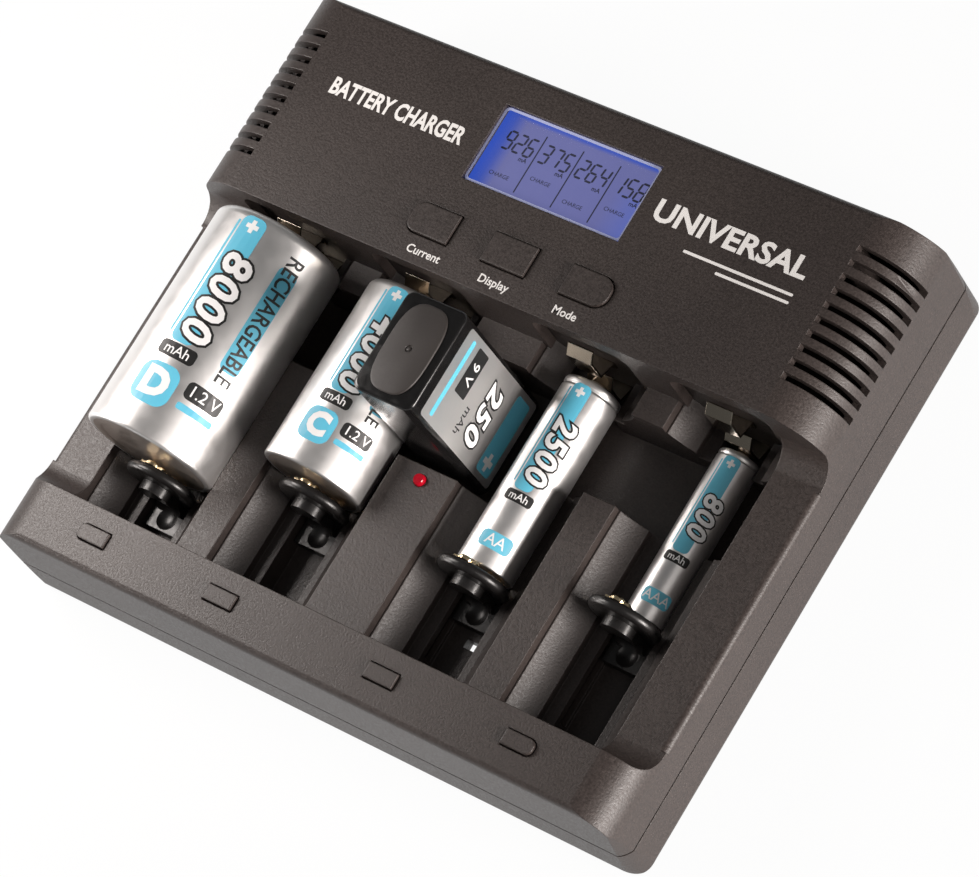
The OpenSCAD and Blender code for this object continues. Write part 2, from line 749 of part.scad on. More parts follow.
// Round plate with a round rim, cut off above the ledges of the bay
module slider_plate() {
    intersection() {
        translate([0, 0, disc_h]) rotate([90, 0, 0]) rotate_extrude() {
            square([disc_r - disc_t / 2, disc_t]);
            translate([disc_r - disc_t / 2, disc_t / 2]) circle(disc_t / 2);
        }
        translate([-disc_r - 1, -disc_t - 1, ledge_h + run_gap])
            cube([2 * disc_r + 2, disc_t + 2, 2 * disc_r]);
    }
}

// Gold strip on the round plate with a pair of domes for thick cells and one for thin ones
module slider_contact(i) {
    y = slide_y(i) - dome_h;
    color("#c8a24c") placed() translate([bay_x[i], 0, 0]) {
        along_y(y - strip_t, y) translate([-strip_half, strip_low])
            square([2 * strip_half, strip_top - strip_low]);
        for (s = [-1, 1], z = [strip_top - dome_drop, cells[3][2]]) translate([s * dome_x, y, z]) dome();
    }
}

// Cap of a ball that stands on a strip and stops just short of the cell
module dome() {
    sunk = strip_t / 2;
    intersection() {
        translate([0, dome_h - rest_gap - dome_r, 0]) sphere(dome_r);
        translate([-dome_r, -sunk, -dome_r]) cube([2 * dome_r, sunk + dome_h, 2 * dome_r]);
    }
}

module slider_spring(i) {
    len = tab_y(i) - bar_d - 2 * rest_gap;
    x = bay_x[i] + spring_side(i) * spring_x;
    color("#a8a8a4") placed() translate([x, bar_d + rest_gap, spring_z]) coil(len);
}

// Leaf that stands on the seat wall, bends forward to the cells between heights low and high, and has a lip
module leaf_contact(low, high) {
    y = contact_y + strip_t / 2;
    root = seat_wall_y - strip_t / 2 - rest_gap / 2;
    strip([
        [root, low - leaf_drop - leaf_root], [root, low - leaf_drop], [y, low],
        [y, high], [y + leaf_lip, high + leaf_lip]
    ], strip_w);
}

// Positive contacts for the two thick sizes
module upper_contacts() {
    color("#c8a24c") placed() for (x = bay_x) translate([x, 0, 0])
        leaf_contact(cells[1][2] - leaf_reach, cells[0][2] - leaf_reach / 2);
}

// Positive contacts for the two thin sizes
module lower_contacts() {
    color("#c8a24c") placed() for (x = bay_x) translate([x, 0, 0])
        leaf_contact(cells[3][2] - leaf_reach, cells[2][2] - leaf_reach / 2);
}

// Contact plates under the block cell's two terminals
module block_contacts() {
    color("#c8a24c") placed() for (s = [-1, 1])
        translate([-pad_w / 2, block_mid + s * terminal_gap / 2 - pad_d / 2, floor_h]) cube([pad_w, pad_d, strip_t]);
}

// Clear window with a flange under the hood
module lcd_window() {
    under = hood_h - wall;
    color("#3040b0", 0.5) placed() translate([0, lcd_mid, under - window_t]) {
        linear_extrude(window_t) square([lcd_w + 2.4, lcd_d + 2.4], center = true);
        linear_extrude(window_t + wall - window_sink) square([lcd_w - 0.3, lcd_d - 0.3], center = true);
    }
}

// Display module on the control board
module lcd_panel() {
    z = hood_board_z + board_t;
    color("#2030a0") placed() translate([0, lcd_mid, z])
        linear_extrude(hood_h - wall - window_t - rest_gap - z)
            square([lcd_w + 1.6, lcd_d + 1.6], center = true);
}

module board_plate(size, holes) {
    difference() {
        linear_extrude(board_t) square(size, center = true);
        for (p = holes) translate([p[0], p[1], -1]) cylinder(d = screw_d + 0.4, h = board_t + 2);
    }
}

module control_board() {
    holes = [for (p = hood_posts) [p[0], p[1] - hood_board_y]];
    color("#1f5a35") placed() translate([0, hood_board_y, hood_board_z]) board_plate(hood_board, holes);
}

// Board with the charging circuit's largest parts
module power_board() {
    holes = [for (p = power_posts) [p[0], p[1] - power_board_y]];
    color("#1f5a35") placed() translate([0, power_board_y, power_board_z]) {
        board_plate(power_board_size, holes);
        for (x = drums_x) translate([x, -drum[0] / 4, board_t]) cylinder(d = drum[0], h = drum[1]);
        for (x = chokes_x) translate([x - choke[0] / 2, drum[0] * 0.6, board_t]) cube(choke);
    }
}

module bay_key_board() {
    holes = [for (p = bar_posts) [p[0], p[1] - bay_key_y]];
    color("#1f5a35") placed() translate([0, bay_key_y, bar_board_z]) board_plate(bar_board, holes);
}

// Push switch with a round plunger
module push_switch() {
    translate([-switch_w / 2, -switch_w / 2, 0]) cube([switch_w, switch_w, switch_h - 0.8]);
    cylinder(d = 3.4, h = switch_h);
}

module control_switches() {
    color("#3a3a3c") placed() for (i = [-1 : 1])
        translate([i * key_pitch, key_y, hood_board_z + board_t]) push_switch();
}

module bay_switches() {
    color("#3a3a3c") placed() for (x = bay_x)
        translate([x, bay_key_y, bar_board_z + board_t]) push_switch();
}

module control_key(i) {
    color("#332e2d") placed() key_solid(hood_h) {
        control_outline(i, 0);
        control_outline(i, flange);
        translate([(i - 1) * key_pitch, key_y]) circle(d = 4);
    }
}

module bay_key(i) {
    color("#332e2d") placed() key_solid(bar_h) {
        bay_key_outline(i, 0);
        bay_key_outline(i, flange * 0.7);
        translate([bay_x[i], bay_key_y]) circle(d = 3);
    }
}

// Lamp with a round head, held in the middle divider
module signal_lamp() {
    top = land_h + 0.2;
    color("#c01830") placed() translate([0, lamp_y, 0]) {
        translate([0, 0, plate_h - 6]) cylinder(d = lamp_d, h = top - plate_h + 6);
        translate([0, 0, top]) intersection() {
            sphere(d = lamp_d);
            cylinder(d = lamp_d, h = lamp_d * 0.3);
        }
    }
}

// Socket for the supply plug, on the power board behind the base's rear wall
module power_inlet() {
    back = case_d - wall_in(inlet_z, wall) - rest_gap - 0.4;
    low = power_board_z + board_t;
    color("#101010") placed() translate([inlet_x, 0, 0]) {
        difference() {
            union() {
                translate([-inlet_body[0] / 2, back - inlet_body[1], low]) cube(inlet_body);
                translate([0, back + wall, inlet_z]) rotate([90, 0, 0]) cylinder(d = inlet_d, h = wall + 2);
            }
            translate([0, back + wall + 1, inlet_z]) rotate([90, 0, 0]) cylinder(d = inlet_d - 1.2, h = 11);
        }
        translate([0, back + wall - 1, inlet_z]) rotate([90, 0, 0]) cylinder(d = 2, h = 11);
    }
}

module case_screws() {
    color("#8a8a88") placed() for (p = case_screws_at)
        translate([p[0], p[1], foot_h + head_sink - head_h])
            screw(seam_h + screw_bite - foot_h - head_sink + head_h);
}

// Screws of the three boards: the control board's from below, the others' from above
module board_screws() {
    color("#8a8a88") placed() {
        for (p = hood_posts) translate([p[0], p[1], hood_board_z - head_h]) screw(head_h + board_t + 4);
        for (p = power_posts) translate([p[0], p[1], power_board_z + board_t + head_h]) mirror([0, 0, 1])
            screw(head_h + board_t + 0.8);
        for (p = bar_posts) translate([p[0], p[1], bar_board_z + board_t + head_h]) mirror([0, 0, 1])
            screw(head_h + board_t + 5);
    }
}

module rubber_feet() {
    color("#18181a") placed() for (p = feet_at) translate([p[0], p[1], 0])
        cylinder(d = foot_d, h = foot_h + foot_seat);
}

// Block cell standing on its two terminals, with the raised oval of its upper end
module block_cell() {
    color("#b9bcc0") placed() translate([0, block_mid, block_foot]) {
        linear_extrude(block_h) round_rect(block_t, block_w, block_r);
        linear_extrude(block_h + 0.5) round_rect(block_t - 5, block_w - 4, 3);
        for (k = [0, 1]) translate([0, (2 * k - 1) * terminal_gap / 2, -terminal_h])
            cylinder(d = terminal_d[k], h = terminal_h + 1);
    }
}

module d_cell() { color("#c4c6c8") cell_in_bay(0); }
module c_cell() { color("#c4c6c8") cell_in_bay(1); }
module aa_cell() { color("#c4c6c8") cell_in_bay(2); }
module aaa_cell() { color("#c4c6c8") cell_in_bay(3); }

base_tray();
top_cover();
bay_liner();
lcd_window();
lcd_panel();
control_board();
power_board();
bay_key_board();
control_switches();
bay_switches();
control_key(0);  // current_key
control_key(1);  // display_key
control_key(2);  // mode_key
bay_key(0);  // bay_key_1
bay_key(1);  // bay_key_2
bay_key(2);  // bay_key_3
bay_key(3);  // bay_key_4
slider(0);  // slider_1
slider(1);  // slider_2
slider(2);  // slider_3
slider(3);  // slider_4
slider_contact(0);  // slider_contact_1
slider_contact(1);  // slider_contact_2
slider_contact(2);  // slider_contact_3
slider_contact(3);  // slider_contact_4
slider_spring(0);  // slider_spring_1
slider_spring(1);  // slider_spring_2
slider_spring(2);  // slider_spring_3
slider_spring(3);  // slider_spring_4
upper_contacts();
lower_contacts();
block_contacts();
signal_lamp();
power_inlet();
case_screws();
board_screws();
rubber_feet();
d_cell();
c_cell();
aa_cell();
aaa_cell();
block_cell();
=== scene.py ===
import json
import math

import bmesh
import bpy
from mathutils import Euler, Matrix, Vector


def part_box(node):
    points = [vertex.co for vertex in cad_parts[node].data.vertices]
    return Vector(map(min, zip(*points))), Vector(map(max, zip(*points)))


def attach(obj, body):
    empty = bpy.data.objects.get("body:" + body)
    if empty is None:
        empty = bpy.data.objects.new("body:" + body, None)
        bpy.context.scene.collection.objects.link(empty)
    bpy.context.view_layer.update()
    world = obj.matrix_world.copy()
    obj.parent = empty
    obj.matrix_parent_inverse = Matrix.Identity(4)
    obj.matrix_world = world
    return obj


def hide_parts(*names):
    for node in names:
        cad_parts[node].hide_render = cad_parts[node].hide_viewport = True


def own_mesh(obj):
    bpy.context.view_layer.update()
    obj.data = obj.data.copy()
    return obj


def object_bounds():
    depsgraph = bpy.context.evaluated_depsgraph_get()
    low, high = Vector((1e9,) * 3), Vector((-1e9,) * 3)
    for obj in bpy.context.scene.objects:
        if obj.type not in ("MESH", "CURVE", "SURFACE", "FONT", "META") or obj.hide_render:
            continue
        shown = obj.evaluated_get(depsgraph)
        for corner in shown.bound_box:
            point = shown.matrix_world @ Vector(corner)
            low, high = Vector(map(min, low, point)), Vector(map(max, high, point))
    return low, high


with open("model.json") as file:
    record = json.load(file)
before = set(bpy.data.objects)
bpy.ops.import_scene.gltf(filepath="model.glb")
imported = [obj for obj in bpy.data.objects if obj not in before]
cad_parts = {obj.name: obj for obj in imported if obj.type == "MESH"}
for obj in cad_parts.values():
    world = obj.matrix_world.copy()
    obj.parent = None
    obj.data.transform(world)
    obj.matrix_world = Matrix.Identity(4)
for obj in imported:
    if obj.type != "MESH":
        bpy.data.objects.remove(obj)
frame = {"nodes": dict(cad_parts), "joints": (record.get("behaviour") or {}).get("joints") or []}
cad_box = [list(corner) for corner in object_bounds()]
nodes = frame["nodes"]

# Lengths are in millimetres in the model's frame, apart from the springs and the stage
MM = 0.001
CASE = "case"


# Values read from the frame
def span(node):
    """The low and the high corner of a node's box."""
    low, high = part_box(node)
    return [v / MM for v in low], [v / MM for v in high]


def middle_of(low, high):
    return [(a + b) / 2 for a, b in zip(low, high)]


FRONT_Y = cad_box[0][1] / MM
HOOD_Z = span("top_cover")[1][2]
LCD_LOW, LCD_HIGH = span("lcd_panel")
WINDOW_LOW, WINDOW_HIGH = span("lcd_window")
WINDOW_MID = middle_of(WINDOW_LOW, WINDOW_HIGH)
# Width of the window's edge that the cover's frame hides
FLANGE = 1.35

# Most values of a noise lie between these two
NOISE_LOW, NOISE_HIGH = 0.3, 0.7
NOISE_ROUGHNESS = 0.55
# Cloudy changes of tone, about 40 mm across
PATCH_SCALE, PATCH_DETAIL, GRAIN_DETAIL = 25.0, 3, 5
SPECKLE_DARK, SPECKLE_LIGHT = (0.3, 0.3, 0.3), (1.7, 1.7, 1.7)
EDGE_SAMPLES = 6
HAZE_STRENGTH, HAZE_DEPTH, HAZE_DETAIL = 0.3, 0.005, 2
# Colour sockets of a mix node
MIX_A, MIX_B, MIX_RESULT = 6, 7, 2


# Node helpers
def new_material(name):
    mat = bpy.data.materials.new(name)
    mat.use_nodes = True
    tree = mat.node_tree
    return mat, tree, tree.nodes["Principled BSDF"]


def add_node(tree, kind, **values):
    node = tree.nodes.new(kind)
    for key, value in values.items():
        setattr(node, key, value)
    return node


def noise(tree, scale, detail):
    """A noise that is fixed to the piece."""
    coords = add_node(tree, "ShaderNodeTexCoord")
    texture = add_node(tree, "ShaderNodeTexNoise")
    texture.inputs["Scale"].default_value = scale
    texture.inputs["Detail"].default_value = detail
    texture.inputs["Roughness"].default_value = NOISE_ROUGHNESS
    tree.links.new(coords.outputs["Object"], texture.inputs["Vector"])
    return texture.outputs["Fac"]


def ranged(tree, source, low, high, from_low=NOISE_LOW, from_high=NOISE_HIGH):
    """A value carried from one range to another."""
    node = add_node(tree, "ShaderNodeMapRange")
    node.inputs["From Min"].default_value = from_low
    node.inputs["From Max"].default_value = from_high
    node.inputs["To Min"].default_value = low
    node.inputs["To Max"].default_value = high
    tree.links.new(source, node.inputs["Value"])
    return node.outputs["Result"]


def two_tone(tree, source, dark, light):
    ramp = add_node(tree, "ShaderNodeValToRGB")
    ramp.color_ramp.elements[0].position = NOISE_LOW
    ramp.color_ramp.elements[1].position = NOISE_HIGH
    ramp.color_ramp.elements[0].color = (*dark, 1)
    ramp.color_ramp.elements[1].color = (*light, 1)
    tree.links.new(source, ramp.inputs["Fac"])
    return ramp.outputs["Color"]


def bump(tree, source, strength, depth, edge=0.0):
    """A grain in the normal, with edges that look rounded."""
    node = add_node(tree, "ShaderNodeBump")
    if edge:
        bevel = add_node(tree, "ShaderNodeBevel", samples=EDGE_SAMPLES)
        bevel.inputs["Radius"].default_value = edge * MM
        tree.links.new(bevel.outputs["Normal"], node.inputs["Normal"])
    node.inputs["Strength"].default_value = strength
    node.inputs["Distance"].default_value = depth * MM
    tree.links.new(source, node.inputs["Height"])
    return node.outputs["Normal"]


# Materials
def surface(name, dark, light, rough, grain_scale, grain_depth, metallic=0.0, strength=0.6,
            edge=0.0, speckle=0.0):
    """A two-tone material with a grain in its bump and an uneven roughness."""
    mat, tree, shader = new_material(name)
    patch = noise(tree, PATCH_SCALE, PATCH_DETAIL)
    grain = noise(tree, grain_scale, GRAIN_DETAIL)
    tone = add_node(tree, "ShaderNodeMix", data_type="RGBA", blend_type="MULTIPLY")
    tone.inputs["Factor"].default_value = speckle
    tree.links.new(two_tone(tree, patch, dark, light), tone.inputs[MIX_A])
    tree.links.new(two_tone(tree, grain, SPECKLE_DARK, SPECKLE_LIGHT), tone.inputs[MIX_B])
    tree.links.new(tone.outputs[MIX_RESULT], shader.inputs["Base Color"])
    tree.links.new(ranged(tree, grain, rough[0], rough[1]), shader.inputs["Roughness"])
    tree.links.new(bump(tree, grain, strength, grain_depth, edge), shader.inputs["Normal"])
    shader.inputs["Metallic"].default_value = metallic
    return mat


def haze(tree, shader, source, rough):
    """A slightly uneven gloss."""
    tree.links.new(ranged(tree, source, rough[0], rough[1]), shader.inputs["Roughness"])
    tree.links.new(bump(tree, source, HAZE_STRENGTH, HAZE_DEPTH), shader.inputs["Normal"])


def lamp_material():
    """Red lens that is faintly lit from inside."""
    mat, tree, shader = new_material("lamp_red")
    tint = noise(tree, 400.0, HAZE_DETAIL)
    color = two_tone(tree, tint, (0.36, 0.0025, 0.012), (0.42, 0.003, 0.014))
    tree.links.new(color, shader.inputs["Base Color"])
    haze(tree, shader, tint, (0.07, 0.14))
    shader.inputs["Emission Color"].default_value = (0.8, 0.01, 0.04, 1)
    shader.inputs["Emission Strength"].default_value = 0.07
    return mat


def display_material():
    """Backlight that is deep blue along its left and back edges and greyish in the middle."""
    mat, tree, shader = new_material("display_backlight")
    coords = add_node(tree, "ShaderNodeTexCoord")
    split = add_node(tree, "ShaderNodeSeparateXYZ")
    tree.links.new(coords.outputs["Object"], split.inputs["Vector"])
    left, right = (WINDOW_LOW[0] + FLANGE) * MM, (WINDOW_HIGH[0] - FLANGE) * MM
    middle, back = WINDOW_MID[1] * MM, (WINDOW_HIGH[1] - FLANGE) * MM
    nearest = add_node(tree, "ShaderNodeMath", operation="MINIMUM")
    tree.links.new(ranged(tree, split.outputs["X"], 0.0, 1.0, left, right), nearest.inputs[0])
    tree.links.new(ranged(tree, split.outputs["Y"], 1.0, 0.03, middle, back), nearest.inputs[1])
    ramp = add_node(tree, "ShaderNodeValToRGB")
    stops = ramp.color_ramp.elements
    stops[0].color = (0.014, 0.058, 0.40, 1)
    stops[1].color = (0.07, 0.105, 0.38, 1)
    stops.new(0.04).color = (0.024, 0.062, 0.36, 1)
    stops.new(0.12).color = (0.10, 0.108, 0.265, 1)
    stops.new(0.78).color = (0.096, 0.104, 0.27, 1)
    tree.links.new(nearest.outputs[0], ramp.inputs["Fac"])
    tree.links.new(ramp.outputs["Color"], shader.inputs["Emission Color"])
    shader.inputs["Base Color"].default_value = (0.03, 0.03, 0.08, 1)
    shader.inputs["Emission Strength"].default_value = 1.1
    haze(tree, shader, noise(tree, 300.0, HAZE_DETAIL), (0.3, 0.4))
    return mat


def window_material():
    """Clear plastic with a faint blue tint."""
    mat, tree, shader = new_material("clear_window")
    cloud = noise(tree, 60.0, HAZE_DETAIL)
    tree.links.new(ranged(tree, cloud, 0.04, 0.1), shader.inputs["Roughness"])
    shader.inputs["Base Color"].default_value = (0.6, 0.68, 1.0, 1)
    shader.inputs["Alpha"].default_value = 0.02
    return mat


# Moulded plastics and rubber, each with a dark and a light tone
BROWN = (0.034, 0.0262, 0.0238), (0.044, 0.0345, 0.0312)
LINER_BROWN = (0.028, 0.0218, 0.0200), (0.036, 0.0285, 0.0262)
MOULD_GRAIN = 1900.0
plastic = surface("case_plastic", *BROWN, (0.34, 0.54), MOULD_GRAIN, 0.13, edge=0.35, speckle=0.45)
key_plastic = surface("key_plastic", *BROWN, (0.36, 0.54), MOULD_GRAIN, 0.09, edge=0.5, speckle=0.45)
liner_plastic = surface("liner_plastic", *LINER_BROWN, (0.36, 0.56), MOULD_GRAIN, 0.11, edge=0.35,
                        speckle=0.45)
gloss_black = surface("gloss_black", (0.006, 0.0058, 0.006), (0.010, 0.0095, 0.0095), (0.14, 0.24),
                      500.0, 0.004)
slider_plastic = surface("slider_plastic", (0.007, 0.0065, 0.0065), (0.011, 0.0102, 0.010), (0.26, 0.38),
                         900.0, 0.02, edge=0.3)
rubber = surface("foot_rubber", (0.012, 0.012, 0.012), (0.02, 0.02, 0.02), (0.7, 0.9), 900.0, 0.05)
end_plate = surface("block_end_plate", (0.034, 0.029, 0.027), (0.044, 0.038, 0.035), (0.42, 0.58),
                    1500.0, 0.03)
board_green = surface("circuit_board", (0.010, 0.05, 0.02), (0.02, 0.09, 0.04), (0.3, 0.45), 800.0, 0.02)

# Metals
gold = surface("gold_plate", (0.84, 0.66, 0.40), (0.93, 0.77, 0.52), (0.12, 0.22), 700.0, 0.002,
               metallic=1.0)
# Nickel of the contacts, partly its own tone and partly darkened as painted shade of the deep bays
nickel_with_painted_shade = surface("nickel_plate_painted_shade", (0.44, 0.39, 0.32), (0.56, 0.50, 0.41), (0.09, 0.16), 700.0, 0.004,
                 metallic=1.0, edge=0.25)
steel = surface("steel", (0.42, 0.42, 0.42), (0.60, 0.59, 0.57), (0.22, 0.36), 900.0, 0.02, metallic=1.0)
# End metal of the cells: grey metal with a warm brown tint that is a painted reflection of the brown bay
cell_metal_with_painted_reflection = surface("cell_metal_with_painted_reflection", (0.52, 0.46, 0.41), (0.64, 0.58, 0.53), (0.34, 0.46), 600.0, 0.004,
                     metallic=1.0)
silver_film = surface("silver_film", (0.76, 0.75, 0.74), (0.82, 0.81, 0.80), (0.32, 0.40), 300.0, 0.004,
                      metallic=0.9, strength=0.3)

# Inks, and the painted highlight on the window's edge
cyan_ink = surface("cyan_ink", (0.10, 0.46, 0.64), (0.14, 0.53, 0.70), (0.30, 0.42), 900.0, 0.003)
white_ink = surface("white_ink", (0.78, 0.78, 0.78), (0.86, 0.86, 0.86), (0.34, 0.46), 900.0, 0.003)
black_ink = surface("black_ink", (0.008, 0.008, 0.008), (0.014, 0.014, 0.014), (0.34, 0.46), 900.0, 0.003)
panel_ink = surface("panel_ink", (0.88, 0.87, 0.85), (0.95, 0.94, 0.92), (0.45, 0.6), 1500.0, 0.008)
segment_ink = surface("segment_ink", (0.003, 0.004, 0.02), (0.005, 0.006, 0.03), (0.4, 0.5), 900.0, 0.005)
# Pale blue ring on the window's edge: a painted highlight of light caught by the edge
window_highlight_blue = surface("window_edge_highlight", (0.40, 0.45, 0.75), (0.48, 0.53, 0.82), (0.1, 0.2), 500.0, 0.004)

NODE_MATERIALS = {
    "lcd_window": window_material(),
    "lcd_panel": display_material(),
    "signal_lamp": lamp_material(),
    "rubber_feet": rubber,
    "bay_liner": liner_plastic,
    "power_inlet": gloss_black,
    "block_cell": gloss_black,
    "control_switches": gloss_black,
    "bay_switches": gloss_black,
}


def material_for(name):
    """The material of a CAD node, by its name."""
    if name in NODE_MATERIALS:
        return NODE_MATERIALS[name]
    if name.startswith("slider_contact"):
        return gold
    if "contact" in name:
        return nickel_with_painted_shade
    if "spring" in name or "screw" in name:
        return steel
    if "board" in name:
        return board_green
    if "key" in name:
        return key_plastic
    if name.startswith("slider"):
        return slider_plastic
    if name.endswith("_cell"):
        return silver_film
    return plastic


for name, obj in nodes.items():
    for slot in obj.material_slots:
        slot.material = material_for(name)


# Mesh helpers
def new_object(name, data):
    obj = bpy.data.objects.new(name, data)
    bpy.context.scene.collection.objects.link(obj)
    return obj


def add_object(name, bm, materials, body=CASE, smooth=True):
    """Makes an object from a mesh in millimetres that rides on a body."""
    bm.normal_update()
    mesh = bpy.data.meshes.new(name)
    bm.to_mesh(mesh)
    bm.free()
    for vertex in mesh.vertices:
        vertex.co *= MM
    for mat in materials:
        mesh.materials.append(mat)
    for face in mesh.polygons:
        face.use_smooth = smooth
    obj = new_object(name, mesh)
    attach(obj, body)
    return obj


def shade_by_angle(obj, degrees):
    obj.data.set_sharp_from_angle(angle=math.radians(degrees))


def merge(bm, other):
    """Adds one mesh to another and frees it."""
    mesh = bpy.data.meshes.new("part")
    other.to_mesh(mesh)
    other.free()
    bm.from_mesh(mesh)
    bpy.data.meshes.remove(mesh)


def angles(steps, end):
    """Angles from 0 to an end in degrees, in equal steps."""
    return [math.radians(end * i / steps) for i in range(steps + 1)]


def outline(points):
    """A flat face from points in the plane."""
    bm = bmesh.new()
    bm.faces.new([bm.verts.new((x, y, 0)) for x, y in points])
    return bm


def round_rect(w, h, r, steps=6):
    points = []
    corners = ((w / 2 - r, h / 2 - r), (r - w / 2, h / 2 - r), (r - w / 2, r - h / 2), (w / 2 - r, r - h / 2))
    for quarter, (x, y) in enumerate(corners):
        for a in angles(steps, 90):
            turn = a + quarter * math.pi / 2
            points.append((x + r * math.cos(turn), y + r * math.sin(turn)))
    return points


def plus_sign(size, arm):
    s, a = size / 2, arm / 2
    return [(a, -s), (a, -a), (s, -a), (s, a), (a, a), (a, s),
            (-a, s), (-a, a), (-s, a), (-s, -a), (-a, -a), (-a, -s)]


def words(text, size, bold=0.0, shear=0.0, spacing=1.0):
    """Flat letters centred on the origin."""
    curve = bpy.data.curves.new("words", "FONT")
    curve.body = text
    curve.size = size
    curve.offset = bold
    curve.shear = shear
    curve.space_character = spacing
    curve.align_x = "CENTER"
    curve.align_y = "CENTER"
    curve.resolution_u = 3
    obj = new_object("words", curve)
    bpy.context.view_layer.update()
    mesh = obj.evaluated_get(bpy.context.evaluated_depsgraph_get()).to_mesh()
    bm = bmesh.new()
    bm.from_mesh(mesh)
    bpy.data.objects.remove(obj)
    bpy.data.curves.remove(curve)
    return bm


def placed(bm, x=0.0, y=0.0, turn=0.0, stretch=1.0, layer=0.0, ink=0):
    """Stretches, turns and moves a flat mesh, and sets its height and its material."""
    c, s = math.cos(math.radians(turn)), math.sin(math.radians(turn))
    for vertex in bm.verts:
        px, py = vertex.co.x * stretch, vertex.co.y
        vertex.co = Vector((x + c * px - s * py, y + s * px + c * py, layer))
    for face in bm.faces:
        face.material_index = ink
    return bm


def fitted(text, size, bold, width):
    """Letters drawn together or apart to a width."""
    bm = words(text, size, bold)
    along = [v.co.x for v in bm.verts]
    return placed(bm, stretch=width / (max(along) - min(along)))


def lathe(profile, segments=96):
    """Turns (radius, height, material) points about Y."""
    bm = bmesh.new()
    rings = []
    turn = 2 * math.pi / segments
    for radius, along, _ in profile:
        if radius == 0:
            rings.append([bm.verts.new((0, along, 0))])
        else:
            rings.append([bm.verts.new((radius * math.sin(k * turn), along, radius * math.cos(k * turn)))
                          for k in range(segments)])
    for lower, upper, point in zip(rings, rings[1:], profile[1:]):
        for k in range(segments):
            n = (k + 1) % segments
            if len(lower) == 1:
                verts = [lower[0], upper[k], upper[n]]
            elif len(upper) == 1:
                verts = [lower[k], upper[0], lower[n]]
            else:
                verts = [lower[k], upper[k], upper[n], lower[n]]
            bm.faces.new(verts).material_index = point[2]
    bmesh.ops.recalc_face_normals(bm, faces=bm.faces[:])
    return bm


# Prints on the cells
CYAN, WHITE, BLACK, SILVER = range(4)
INKS = [cyan_ink, white_ink, black_ink]
# Height of one layer of print, and the turn between two cuts of a bent print
LAYER = 0.03
STEP_ANGLE = 6.0
# Capacity figures: black edge and white body as shares of the size, lean and spread
EDGE_BOLD, BODY_BOLD, FIGURE_LEAN, FIGURE_SPREAD = 0.085, 0.03, 0.15, 1.14


def wrap(bm, x, y, z, radius):
    """Bends a flat print round a cell: X of the print runs along the cell and Y round it."""
    bmesh.ops.triangulate(bm, faces=bm.faces[:])
    step = radius * math.radians(STEP_ANGLE)
    low = min(v.co.y for v in bm.verts)
    high = max(v.co.y for v in bm.verts)
    for k in range(math.floor(low / step) + 1, math.ceil(high / step)):
        geometry = bm.verts[:] + bm.edges[:] + bm.faces[:]
        bmesh.ops.bisect_plane(bm, geom=geometry, plane_co=(0, k * step, 0), plane_no=(0, 1, 0))
    for vertex in bm.verts:
        along, around, height = vertex.co
        angle = around / radius
        r = radius + height
        vertex.co = Vector((x - r * math.sin(angle), y + along, z + r * math.cos(angle)))
    bmesh.ops.recalc_face_normals(bm, faces=bm.faces[:])
    for face in bm.faces:
        middle = face.calc_center_median()
        if face.normal.dot(middle - Vector((x, middle.y, z))) < 0:
            face.normal_flip()


def numerals(bm, text, size, x, y, turn):
    """White leaning figures with a heavy black edge."""
    for bold, layer, ink in ((EDGE_BOLD, 3, BLACK), (BODY_BOLD, 4, WHITE)):
        flat = words(text, size, bold * size, FIGURE_LEAN, FIGURE_SPREAD)
        merge(bm, placed(flat, x, y, turn, layer=layer * LAYER, ink=ink))


def label_art(capacity, size, angle, tall, broad):
    """A label with a bar, a plus, large figures, and tags with the size and the voltage.

    Places along the cell are shares of its length, and angle turns the label to the right.
    """
    unit_at, tag_at, badge_at, volts_at, stripe_at = 0.345, 0.12, 0.2, 0.24, 0.17
    band_at, plus_at, figures_at = 0.66, 0.9, 0.6

    def draw(art, radius, length):
        turn = math.radians(1) * radius
        mid = -angle * turn

        def put(flat, x, y, degrees=0, layer=2, ink=WHITE):
            merge(art, placed(flat, x * length, y, degrees, layer=layer * LAYER, ink=ink))

        def bar(x, y, w, h, ink):
            put(outline(round_rect(w, h, 0.3 * min(w, h))), x, y, layer=1, ink=ink)

        wide = 0.62 * tall
        band = mid + 0.16 * tall
        bar(band_at, band, 0.56 * length, wide, CYAN)
        put(outline(plus_sign(0.5 * wide, 0.17 * wide)), plus_at, band)
        bar(band_at, band + 0.62 * wide, 0.5 * length, 0.1 * wide, CYAN)
        numerals(art, capacity, tall, figures_at * length, mid, 180)
        unit = mid + 0.1 * tall
        bar(unit_at, unit, 0.36 * tall, 0.95 * tall, BLACK)
        put(words("mAh", 0.34 * tall, 0.02), unit_at, unit, -90)
        if not broad:
            bar(tag_at, mid, 0.08 * length, 1.1 * tall, CYAN)
            put(words(size, 0.5 * tall, 0.02), tag_at, mid, -90)
            return
        side = mid - 40 * turn
        bar(figures_at, side, 0.46 * length, 0.5 * tall, CYAN)
        long_word = fitted("RECHARGEABLE", 0.56 * tall, 0.008 * tall, 0.56 * length)
        put(long_word, figures_at, side, 180, ink=BLACK)
        badge = mid + 6 * turn
        bar(badge_at, badge, 0.17 * length, 0.17 * length, CYAN)
        put(words(size, 0.15 * length, 0.05 * tall), badge_at, badge, -90)
        volts = mid - 36 * turn
        bar(volts_at, volts, 0.42 * tall, 0.95 * tall, BLACK)
        bar(stripe_at, volts, 0.16 * tall, 0.95 * tall, CYAN)
        put(words("1.2 V", 0.38 * tall, 0.02), volts_at, volts, -90)
    return draw


